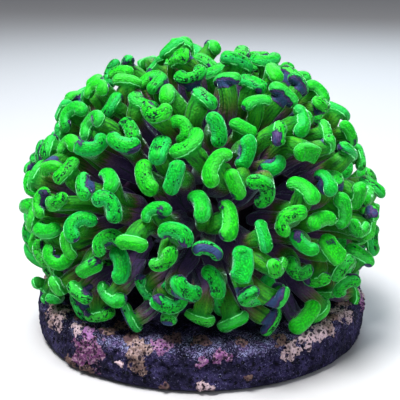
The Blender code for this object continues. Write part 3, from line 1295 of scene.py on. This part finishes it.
@dataclass
class PolypCrown:
    """One polyp's tentacles."""

    node: str
    colony: Colony
    layout: CrownLayout
    seat_radius: float = 7.0  # how far from the mouth the outer tentacles are rooted
    seat_rise: float = 2.4  # how far the oral disc stands above the calice's rim
    inner_seat: float = 2.2  # how far from the mouth the inner tentacles are rooted, at the least
    full_lean: float = 24.0  # degrees off the polyp's axis at which a head is rooted on the outside
    seat_curve: float = 0.8  # under 1, more tentacles are rooted on the outside
    seat_bow: float = 0.02  # how much the oral disc falls away outwards
    seat_scatter: float = 0.3
    leaving: tuple[float, float] = (1.1, 0.14)  # how much a root points up, and out
    pull: tuple[float, float] = (0.9, 1.05)  # how stiffly a stalk leaves its root and meets its head
    waves: int = 4  # in a tentacle's flesh
    wave_height: float = 0.11
    lit_depth: tuple[float, float] = (8.5, 0.5)  # under the dome's level: where the light ends and is full
    girth: float = 0.30  # how much thicker the thickest root is
    windows: tuple[int, ...] = (0, 0, 1, 1, 2, 2)  # how many windows a head has at its ends
    window_along: tuple[float, float] = (0.55, 1.1)  # a window's place, as a share of the arm's reach
    window_across: tuple[float, float] = (0.2, 1.0)  # and as a share of half the head's width
    window_height: tuple[float, float] = (-1.6, 0.7)
    window_spread: Pairs = ((1.3, 2.6), (1.1, 1.8), (1.0, 1.8))  # its least and greatest half-sizes
    flanked: float = 0.40  # how many heads have a window along one flank
    dark: float = 0.020  # how many have a face that is all window
    peppers: tuple[float, ...] = (0.0, 0.0, 0.4, 0.7, 1.1)  # how thickly a head is dotted
    blush: tuple[float, float] = (-0.24, 0.34)  # how soon stalks turn purple, and how much it varies
    top_blush: float = 0.40  # how much sooner they do at the dome's top
    low_blush: float = 0.85  # and at its skirt
    first_seed: int = 900  # of the first tentacle's own draws
    drift: float = 400.0  # how far a tentacle's markings are moved, so that no two are alike

    def build(self) -> Piece:
        """Copies, bends and marks the polyp's tentacles: the heads that are nearest to its axis.

        Returns:
            The tentacles in one piece.
        """
        names = list(self.colony.axes)
        nearest = (self.layout.way @ np.array(list(self.colony.axes.values())).T).argmax(1)
        parts = [self.tentacle(index) for index in np.flatnonzero(nearest == names.index(self.node))]
        take(parts[0])
        for part in parts:
            part.select_set(True)
        bpy.ops.object.join()
        crown = bpy.context.active_object
        crown.name = crown.data.name = self.node + "_crown"
        return crown

    def tentacle(self, index: int) -> Piece:
        """Copies a tentacle, bends it from the body to its head's place, and marks its skin.

        Args:
            index: The head.

        Returns:
            The tentacle, in its place.
        """
        model = self.layout.models[self.layout.forms[index]]
        random = np.random.default_rng(self.first_seed + index)
        mesh = model.mesh.copy()
        piece = bpy.data.objects.new("tentacle", mesh)
        bpy.context.scene.collection.objects.link(piece)
        points = self.bent(index, model, random) + self.swelling(model.rest, random)
        move_points(mesh, points + self.colony.dome_centre)
        self.mark(mesh, model, self.layout.way[index], random)
        return piece

    def bent(self, index: int, model: TentacleModel, random: Draws) -> Rows:
        """The upright tentacle bent along its own curve, with its head turned and leaning.

        Args:
            index: The head.
            model: The upright tentacle.
            random: The tentacle's own draws.

        Returns:
            The places from the dome's centre.
        """
        stand = self.layout.stand.one(index)
        across = stand.across(self.layout.roll[index])
        size = self.layout.size[index]
        shape, rest = model.shape * size, model.rest
        root, leaving = self.root(self.layout.way[index], random)
        neck = stand.place - stand.face * model.neck * size
        span = np.linalg.norm(neck - root)
        share = np.clip((rest[:, 2] + model.stalk) / (model.stalk - model.neck), 0.0, 1.0)[:, None]
        start, end = leaving * span * self.pull[0], stand.face * span * self.pull[1]
        line = (
            (2.0 * share**3 - 3.0 * share**2 + 1.0) * root
            + (share**3 - 2.0 * share**2 + share) * start
            + (3.0 * share**2 - 2.0 * share**3) * neck
            + (share**3 - share**2) * end
        )
        heading = unit(
            6.0 * (share**2 - share) * (root - neck)
            + (3.0 * share**2 - 4.0 * share + 1.0) * start
            + (3.0 * share**2 - 2.0 * share) * end
        )
        wide = unit(across - heading * (heading @ across)[:, None])
        deep = np.cross(heading, wide)
        girth = 1.0 + random.uniform(0.0, self.girth) * (1.0 - share)
        stalk = line + (wide * shape[:, :1] + deep * shape[:, 1:2]) * girth
        head = stand.place + shape @ np.stack([across, np.cross(stand.face, across), stand.face])
        return np.where((rest[:, 2] < -model.neck)[:, None], stalk, head)

    def root(self, way: Rows, random: Draws) -> tuple[Rows, Rows]:
        """Where a tentacle leaves the oral disc, and which way.

        Args:
            way: The direction of its head from the dome's centre.
            random: The tentacle's own draws.

        Returns:
            The place from the dome's centre, and a unit direction.
        """
        axis = self.colony.axes[self.node]
        flat = way - axis * (way @ axis)
        off = math.asin(min(1.0, float(np.linalg.norm(flat))))
        share = min(1.0, off / math.radians(self.full_lean))
        out = max(self.inner_seat, self.seat_radius * share**self.seat_curve)
        root = axis * (self.colony.calice_reach + self.seat_rise - self.seat_bow * out**2)
        root = root + unit(flat) * out + random.normal(0.0, self.seat_scatter, 3)
        up, outward = self.leaving
        return root, unit(axis * up + unit(flat) * outward * out)

    def swelling(self, rest: Rows, random: Draws) -> Rows:
        """Slow, small waves in the flesh, so that no two copies are alike.

        Args:
            rest: The points on the upright model.
            random: The tentacle's own draws.

        Returns:
            What to add to each place.
        """
        moved = np.zeros_like(rest)
        for _ in range(self.waves):
            wave = unit(random.normal(size=3)) * random.uniform(0.5, 1.1)
            phase = random.uniform(0.0, 2.0 * math.pi)
            moved += unit(random.normal(size=3)) * self.wave_height * np.sin(rest @ wave + phase)[:, None]
        return moved

    def mark(self, mesh: Mesh, model: TentacleModel, way: Rows, random: Draws) -> None:
        """Stores what the flesh's material reads.

        Args:
            mesh: The tentacle's mesh, in its place.
            model: The model that it was copied from.
            way: The direction of its head from the dome's centre.
            random: The tentacle's own draws.
        """
        head, rest = model.form.value, model.rest
        band = np.abs(rest[:, 1]) / (head.width / 2.0)
        ends = np.where(rest[:, 0] > 0, rest[:, 0] / head.right, -rest[:, 0] / head.left)
        rim = smooth(0.50, 1.0, np.maximum(band, 1.5 * ends - 0.5)) * smooth(-1.8, -0.6, rest[:, 2])
        window = self.windowed(head, rest, rim, random)
        pepper = random.choice(self.peppers) * smooth(-0.1, 1.1, rest[:, 2] / (head.depth / 2.0))
        shift = np.array((*random.uniform(-self.drift, self.drift, 2), 0.0))
        low = 1.0 - smooth(-0.3, 0.1, way[2])
        blush = random.normal(*self.blush) + self.top_blush * way[2] ** 2 + self.low_blush * low
        skin = (np.full(len(rest), random.uniform()), np.full(len(rest), blush), rim)
        store(mesh, "grain", rest + shift)
        store(mesh, "marks", np.stack([window, pepper, self.reached(mesh)], 1))
        store(mesh, "skin", np.stack(skin, 1))

    def windowed(self, head: Hammer, rest: Rows, rim: Rows, random: Draws) -> Rows:
        """How far inside a smooth window each point is.

        Args:
            head: The kind of head.
            rest: The points on the upright model.
            rim: How near each point is to the head's rim, from 0 to 1.
            random: The tentacle's own draws.

        Returns:
            One number a point, above 0 inside.
        """
        window = np.full(len(rest), NO_WINDOW)
        for _ in range(random.choice(self.windows)):
            end = random.choice([-1.0, 1.0])
            reach = head.right if end > 0 else head.left
            along = end * reach * random.uniform(*self.window_along)
            across = random.choice([-1.0, 1.0]) * head.width / 2.0 * random.uniform(*self.window_across)
            middle = np.array((along, across, random.uniform(*self.window_height)))
            spread = np.array([random.uniform(*span) for span in self.window_spread])
            away = np.linalg.norm((rest - middle) / spread, axis=1)
            window = np.maximum(window, (1.0 - away) * spread.min())
        side, end = random.choice([-1.0, 1.0], 2)
        if random.random() < self.flanked:
            flank = 1.15 * side * rest[:, 1] / (head.width / 2.0) - 0.9 * np.maximum(rest[:, 2], -1.6) - 1.05
            flank += 0.55 * end * rest[:, 0] / head.right
            window = np.maximum(window, flank - 3.0 * smooth(-1.6, -3.0, rest[:, 2]))
        if random.random() < self.dark:
            window = 1.5 - 2.6 * rim - 4.0 * smooth(-1.0, -2.4, rest[:, 2])
        return window

    def reached(self, mesh: Mesh) -> Rows:
        """How much light reaches each point and makes it glow: less among the stalks and underneath.

        Args:
            mesh: The tentacle's mesh, in its place.

        Returns:
            A share for each point.
        """
        upward = read(mesh.vertices, "normal")[:, 2]
        out = np.linalg.norm(points_of(mesh) - self.colony.dome_centre, axis=1)
        return smooth(*self.lit_depth, self.layout.level - out) * (0.75 + 0.25 * smooth(-0.5, 0.5, upward))


# ---- skeleton


@dataclass
class Branch:
    """A branch of the skeleton: a ribbed column, bent to its own line, with a calice at its end."""

    node: str
    colony: Colony
    ribs: int = 22
    furrow: float = 0.93  # a furrow's radius over a rib's
    stem: float = 10.0  # height of the upright column up to the calice
    calice: float = 3.0
    root_radius: float = 4.0
    root_depth: float = 0.8
    root_middle: float = -1.0
    rings: Rings = (
        (0.6, 3.0), (1.4, 2.9), (2.0, 3.2), (2.4, 3.7), (2.2, 4.3), (2.0, 5.3), (0.9, 5.9), (1.2, 6.3),
        (0.9, 6.0),
    )
    cup: Rings = ((0.0, 5.1), (-1.6, 0.96 * 5.1))
    roughness: float = 0.16
    tissue: float = 1.1  # how much tissue covers the calice's end

    def build(self) -> Piece:
        """Models the branch.

        Returns:
            The branch, in its place.
        """
        name = self.node + "_limestone"
        piece = add_cylinder(name, 2 * self.ribs, self.root_radius, self.root_depth, self.root_middle)
        bench = Bench(piece)
        bench.raise_rings(self.root_radius, (*self.rings, *self.cup))
        step = math.pi / self.ribs
        bench.pick(Pick.POINTS, lambda at, _: round(math.atan2(at.y, at.x) / step) % 2 == 1)
        bench.resize((self.furrow, self.furrow, 1.0))
        bench.close()
        smooth_out(piece, 1)
        self.settle(piece.data)
        return piece

    def settle(self, mesh: Mesh) -> None:
        """Bends the upright column to the branch's line and stores how much tissue covers it.

        Args:
            mesh: The column's mesh, upright at the origin.
        """
        upright = points_of(mesh)
        upright[:, 2] *= (self.stem + self.calice) / upright[:, 2].max()
        axis = self.colony.axes[self.node.replace("branch_", "polyp_")]
        root = self.colony.root_of(self.node)
        neck = axis * (self.colony.calice_reach - self.calice)
        bend = neck - 0.5 * np.linalg.norm(neck - root) * axis
        share = np.clip(upright[:, 2:] / self.stem, 0.0, 1.0)
        line = (1.0 - share) ** 2 * root + 2.0 * share * (1.0 - share) * bend + share**2 * neck
        heading = unit((1.0 - share) * (bend - root) + share * (neck - bend))
        line += heading * (upright[:, 2:] - share * self.stem)
        across = unit(np.cross(axis, (0.31, 0.17, 1.0) if abs(axis[2]) < 0.9 else (1.0, 0.0, 0.0)))
        wide = unit(across - heading * (heading @ across)[:, None])
        points = line + wide * upright[:, :1] + np.cross(heading, wide) * upright[:, 1:2]
        rough = self.roughness * lumps_at(points, 0.7)
        points += unit(points - line) * rough[:, None] + self.colony.dome_centre
        move_points(mesh, points)
        store(mesh, "tissue", share[:, 0] * self.tissue)


@dataclass
class Trunk:
    """The trunk: a crusty foot on the disc, a waist and a lumpy crown."""

    node: str
    colony: Colony
    sides: int = 44
    foot_radius: float = 15.5
    foot_depth: float = 0.6
    foot_sink: float = 0.1  # how far the foot's middle is under the disc's top
    tissue: float = 0.25  # how much tissue covers the crown
    furrows: int = 26
    furrow_depth: float = 0.22
    rings: Rings = (
        (0.7, 15.3), (0.8, 13.2), (1.0, 10.8), (1.6, 9.1), (2.2, 8.8), (2.6, 9.3), (2.9, 9.6), (3.3, 9.0),
        (2.6, 7.6), (1.9, 5.6), (1.1, 3.2),
    )

    def build(self) -> Piece:
        """Models the trunk.

        Returns:
            The trunk, in its place.
        """
        name, middle = self.node + "_limestone", self.colony.disc_top - self.foot_sink
        piece = add_cylinder(name, self.sides, self.foot_radius, self.foot_depth, middle)
        bench = Bench(piece)
        bench.raise_rings(self.foot_radius, self.rings)
        bench.close()
        smooth_out(piece, 2)
        self.weather(piece.data)
        return piece

    def weather(self, mesh: Mesh) -> None:
        """Makes the foot and the crown lumpy, and furrows the waist.

        Args:
            mesh: The trunk's mesh.
        """
        points = points_of(mesh)
        rise = points[:, 2] - self.colony.disc_top
        bearing = np.arctan2(points[:, 1], points[:, 0])
        foot = smooth(4.5, 0.5, rise)
        height = lumps_at(points, 0.22, 0.9, 2.0, 3) * (0.5 + 1.4 * foot)
        height += self.furrow_depth * np.sin(self.furrows * bearing) * (1.0 - foot)
        points += unit(points * (1.0, 1.0, 0.0)) * (height * smooth(-0.3, 0.4, rise))[:, None]
        move_points(mesh, points)
        store(mesh, "tissue", self.tissue * smooth(3.0, 16.0, rise))


# ---- disc


@dataclass(frozen=True)
class CrustPatch:
    """A patch of crust on the disc."""

    bearing: float  # degrees from the front, towards +X
    reach: float  # distance from the disc's axis
    height: float
    spread: float
    tint: float  # from 0, the dark end of its kind's colours, to 1
    stretch: float = 0.8  # its height over its breadth


def lay_out(*rows: tuple[float, ...]) -> tuple[CrustPatch, ...]:
    """Patches of crust, each from a row of its fields."""
    return tuple(CrustPatch(*row) for row in rows)


@dataclass
class FragDisc:
    """The round ceramic disc, with a porous skin and patches of crust."""

    colony: Colony
    sides: int = 180
    voxel: float = 0.47
    rounding: float = 2.4
    lumpiness: float = 0.30
    pitting: float = 0.55
    knobs: float = 0.24
    crust_rise: tuple[float, float] = (0.45, 0.50)  # a crust's thickness, and how much its knobs add
    crust_reach: float = 1.35  # how far a crust may run, as a share of its patch's spread
    raggedness: float = 0.85  # of a crust's edge
    rose_seed: float = 3.1
    sand_seed: float = 57.3
    rose: tuple[CrustPatch, ...] = lay_out(
        (-38.2, 40.0, 6.2, 4.4, 0.16, 0.95), (-38.6, 39.2, 9.9, 2.0, 0.95),
        (-42.0, 40.0, 4.2, 2.2, 0.10, 0.9), (-12.9, 38.9, 10.1, 2.2, 0.55, 0.7),
        (0.9, 40.0, 7.6, 1.6, 0.45, 0.9), (6.1, 39.9, 8.7, 2.2, 0.35, 0.6), (74.0, 38.4, 10.2, 3.4, 0.5, 0.9),
        (118.0, 40.0, 6.5, 3.8, 0.2, 1.0), (123.5, 39.4, 9.4, 2.4, 0.8), (158.0, 40.0, 4.2, 1.5, 0.3, 0.9),
        (171.0, 39.0, 9.4, 3.4, 0.7, 0.9), (176.0, 40.0, 5.6, 2.6, 0.15, 1.2),
        (214.0, 39.2, 10.0, 2.0, 0.5, 0.7), (243.0, 40.0, 5.0, 2.8, 0.3, 1.0),
    )
    sand: tuple[CrustPatch, ...] = lay_out(
        (-59.5, 38.6, 10.2, 3.6, 0.62, 0.9), (-54.5, 39.4, 9.2, 2.4, 0.70), (-44.2, 39.2, 9.9, 2.0, 0.92),
        (-38.7, 40.0, 1.8, 2.1, 0.30), (-31.9, 32.9, 10.5, 2.3, 0.30), (-49.0, 35.4, 10.5, 2.2, 0.15),
        (-33.5, 36.6, 10.5, 1.9, 0.32), (-24.0, 36.4, 10.5, 2.0, 0.10), (-9.0, 35.2, 10.5, 2.4, 0.06),
        (14.0, 36.8, 10.5, 1.8, 0.22), (-11.0, 40.0, 1.6, 1.5, 0.16), (-47.0, 40.0, 2.0, 1.9, 0.36),
        (14.5, 40.0, 3.2, 1.1, 0.30, 0.9), (-19.5, 39.6, 9.6, 2.8, 0.55, 0.9),
        (-19.3, 40.0, 6.4, 2.3, 0.45, 1.0), (-25.6, 40.0, 5.8, 0.9, 0.9, 1.0),
        (-0.4, 36.0, 10.5, 2.3, 0.12, 0.7), (1.2, 40.0, 2.0, 1.8, 0.75), (28.8, 39.9, 8.2, 2.4, 0.72, 1.1),
        (26.5, 38.8, 10.2, 1.9, 0.35), (36.6, 39.5, 9.6, 2.8, 1.0), (41.5, 39.4, 9.8, 2.3, 0.95),
        (46.2, 39.0, 9.9, 2.3, 0.62), (52.0, 37.0, 10.5, 1.8, 0.45), (58.6, 38.2, 10.4, 3.0, 0.74),
        (66.0, 36.5, 10.5, 2.0, 0.5), (79.0, 37.6, 10.4, 2.6, 0.8), (98.0, 40.0, 4.6, 1.5, 0.7, 1.1),
        (105.0, 38.2, 10.4, 2.4, 0.9), (139.0, 39.5, 8.6, 2.8, 0.6, 1.0), (144.5, 39.8, 6.4, 2.0, 0.45, 1.2),
        (150.0, 38.6, 10.2, 2.3, 0.8), (186.5, 38.4, 10.3, 2.2, 0.35), (193.0, 40.0, 3.0, 1.7, 0.65, 0.9),
        (205.0, 39.5, 9.0, 2.6, 0.7, 1.3), (210.0, 40.0, 5.6, 1.6, 0.5, 1.1),
        (222.0, 38.0, 10.4, 2.4, 0.4, 1.0), (262.0, 39.2, 9.4, 2.6, 0.5, 1.0),
    )

    def build(self) -> Piece:
        """Models the disc.

        Returns:
            The disc, standing on its flat underside.
        """
        top = self.colony.disc_top
        piece = add_cylinder("ceramic_disc", self.sides, self.colony.disc_radius, top, top / 2.0)
        rim = piece.modifiers.new("rim", "BEVEL")
        rim.width = self.rounding * MM
        rim.segments = 5
        rim.limit_method = "ANGLE"
        apply_modifiers(piece)
        grid = piece.modifiers.new("grid", "REMESH")
        grid.mode = "VOXEL"
        grid.voxel_size = self.voxel * MM
        grid.use_smooth_shade = True
        apply_modifiers(piece)
        self.weather(piece.data)
        bpy.ops.object.shade_smooth()
        return piece

    def weather(self, mesh: Mesh) -> None:
        """Roughens the skin, raises the crusts and stores where they are.

        Args:
            mesh: The disc's mesh.
        """
        points = points_of(mesh)
        rose, rose_tint = self.cover(points, self.rose, self.rose_seed)
        sand, sand_tint = self.cover(points, self.sand, self.sand_seed)
        flat = np.hypot(points[:, 0], points[:, 1])
        lumps = lumps_at(points, 0.16, 1.0, 2.0, 2)
        knobs = lumps_at(points, 1.25, shift=(31.0, 7.0, 3.0))
        height = self.lumpiness * lumps - self.pitting * smooth(0.10, 0.48, lumps_at(points, 0.85))
        thickness = self.crust_rise[0] + self.crust_rise[1] * knobs
        height += self.knobs * knobs + smooth(0.3, 0.6, np.maximum(rose, sand)) * thickness
        height *= smooth(0.2, 1.6, points[:, 2])
        points += read(mesh.vertices, "normal") * height[:, None]
        points[:, 2] = np.maximum(points[:, 2], 0.0)
        move_points(mesh, points)
        bearing = np.abs(np.degrees(np.arctan2(points[:, 0], -points[:, 1])))
        rim = smooth(self.colony.disc_top - 3.4, self.colony.disc_top - 1.2, points[:, 2])
        # Pale flecks on the rounded rim, thickest at the front as a painted highlight, and a thinner strewing
        # all round.
        dust_and_highlight = rim * smooth(29.0, 36.0, flat) * (0.55 + 0.5 * lumps) * smooth(60.0, 25.0, bearing - 5.0)
        dust_and_highlight += 0.30 * rim * smooth(20.0, 34.0, flat)
        store(mesh, "crusts", np.stack([rose, sand, np.clip(dust_and_highlight, 0.0, 1.0)], 1))
        store(mesh, "tint", np.where(rose > sand, rose_tint, sand_tint))

    def cover(self, points: Rows, patches: tuple[CrustPatch, ...], seed: float) -> tuple[Rows, Rows]:
        """How far each point is inside a patch, with ragged edges: under 0.35 is bare.

        Args:
            points: The places.
            patches: The patches of one kind.
            seed: A shift that gives each kind its own edges.

        Returns:
            One number a point, and the tint of the patch that it is in.
        """
        found, tint = np.zeros(len(points)), np.zeros(len(points))
        for patch in patches:
            bearing = math.radians(patch.bearing)
            middle = (patch.reach * math.sin(bearing), -patch.reach * math.cos(bearing), patch.height)
            away = (points - middle) / (patch.spread, patch.spread, patch.spread * patch.stretch)
            inside = self.crust_reach - np.linalg.norm(away, axis=1)
            tint = np.where(inside > found, patch.tint, tint)
            found = np.maximum(found, inside)
        near = found > 0.0
        ragged = np.zeros(len(points))
        ragged[near] = lumps_at(points[near], 0.62, 0.7, 2.1, 4, shift=(seed, seed * 0.7, 0.0))
        return np.clip(found + self.raggedness * ragged, 0.0, 1.0), tint


# ---- studio


@dataclass(frozen=True)
class SoftLight:
    """A square soft light, in metres and watts."""

    name: str
    place: Triple
    size: float
    power: float
    colour: Colour

    def hang(self, target: Vector) -> None:
        """Hangs the light.

        Args:
            target: The place that it faces.
        """
        lamp = bpy.data.lights.new(self.name, "AREA")
        lamp.shape = "SQUARE"
        lamp.size = self.size
        lamp.energy = self.power
        lamp.color = self.colour
        hung = bpy.data.objects.new(self.name, lamp)
        hung.location = self.place
        hung.rotation_euler = (Vector(self.place) - target).to_track_quat("Z", "Y").to_euler()
        bpy.context.scene.collection.objects.link(hung)


@dataclass
class Studio:
    """Floor, soft lights and camera."""

    colony: Colony
    lens: float = 85.0
    elevation: float = 17.2  # degrees above level
    distance: float = 231.0  # from the dome's centre
    aside: float = -0.24  # towards +X
    aim_above: float = 1.12  # degrees that the camera looks above the dome's centre
    sensor: float = 36.0
    clip: tuple[float, float] = (0.01, 20.0)  # metres
    floor_size: float = 6.0  # metres
    air: Colour = (0.90, 0.94, 1.0)
    air_strength: float = 0.23
    lights: tuple[SoftLight, ...] = (
        SoftLight("key_light", (-0.12, -0.15, 0.62), 0.24, 8.6, (1.0, 0.99, 0.97)),
        SoftLight("fill_light", (0.38, -0.36, 0.30), 0.40, 1.0, (0.93, 0.96, 1.0)),
        SoftLight("back_light", (0.10, 0.46, 0.44), 0.36, 3.0, (0.80, 0.93, 1.0)),
    )

    def build(self) -> None:
        """Sets the studio up."""
        self.lay_floor()
        for light in self.lights:
            light.hang(Vector(self.colony.dome_centre) * MM)
        world = bpy.data.worlds.new("studio_air")
        world.use_nodes = True
        air = world.node_tree.nodes["Background"]
        air.inputs["Color"].default_value = (*self.air, 1.0)
        air.inputs["Strength"].default_value = self.air_strength
        bpy.context.scene.world = world
        bpy.context.scene.view_settings.view_transform = "Standard"
        self.place_camera()

    def lay_floor(self) -> None:
        """Lays the pale floor that the disc stands on."""
        bpy.ops.object.select_all(action="DESELECT")
        bpy.ops.mesh.primitive_plane_add(size=self.floor_size, location=(0.0, 0.0, 0.0))
        floor = bpy.context.active_object
        floor.name = "floor"
        floor.data.materials.append(FloorFinish().build())

    def place_camera(self) -> None:
        """Stands the camera in front, looking down on the dome."""
        lens = bpy.data.cameras.new("camera")
        lens.lens = self.lens
        lens.sensor_width = self.sensor
        lens.clip_start, lens.clip_end = self.clip
        camera = bpy.data.objects.new("camera", lens)
        angle = math.radians(self.elevation)
        back = Vector((0.0, -math.cos(angle), math.sin(angle)))
        aside = Vector((self.aside, 0.0, 0.0))
        camera.location = (Vector(self.colony.dome_centre) + back * self.distance + aside) * MM
        camera.rotation_euler = (math.radians(90.0 - self.elevation + self.aim_above), 0.0, 0.0)
        bpy.context.scene.collection.objects.link(camera)
        bpy.context.scene.camera = camera


# ---- main


def dress(piece: Piece, material: Material) -> None:
    """Gives a piece its material and its body.

    Args:
        piece: The finished piece.
        material: Its material.
    """
    piece.data.materials.clear()
    piece.data.materials.append(material)
    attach(piece, "root")
    LOG.info("%s: %d faces", piece.name, len(piece.data.polygons))


def main() -> None:
    """Builds the coral, piece by piece, and the studio round it."""
    logging.basicConfig(level=logging.INFO, format="%(name)s: %(message)s")
    colony = Colony()
    LOG.info("dome %.1f mm, centre %.1f mm up", colony.dome_radius, colony.dome_centre[2])
    Studio(colony).build()

    disc = FragDisc(colony).build()
    dress(disc, DiscFinish().build())
    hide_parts("frag_disc")

    limestone = SkeletonFinish().build()
    for node in colony.skeleton:
        stem = Trunk(node, colony) if node == "trunk" else Branch(node, colony)
        piece = stem.build()
        dress(piece, limestone)
        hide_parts(node)

    layout = CrownLayout(colony, {form: TentacleModel(form) for form in HeadForm})
    flesh = FleshFinish().build()
    oral = OralFinish().build()
    for node in colony.polyps:
        crown = PolypCrown(node, colony, layout).build()
        dress(crown, flesh)
        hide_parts(node)
        dress(PolypBody(node, colony).build(), oral)


if __name__ == "__main__":
    main()
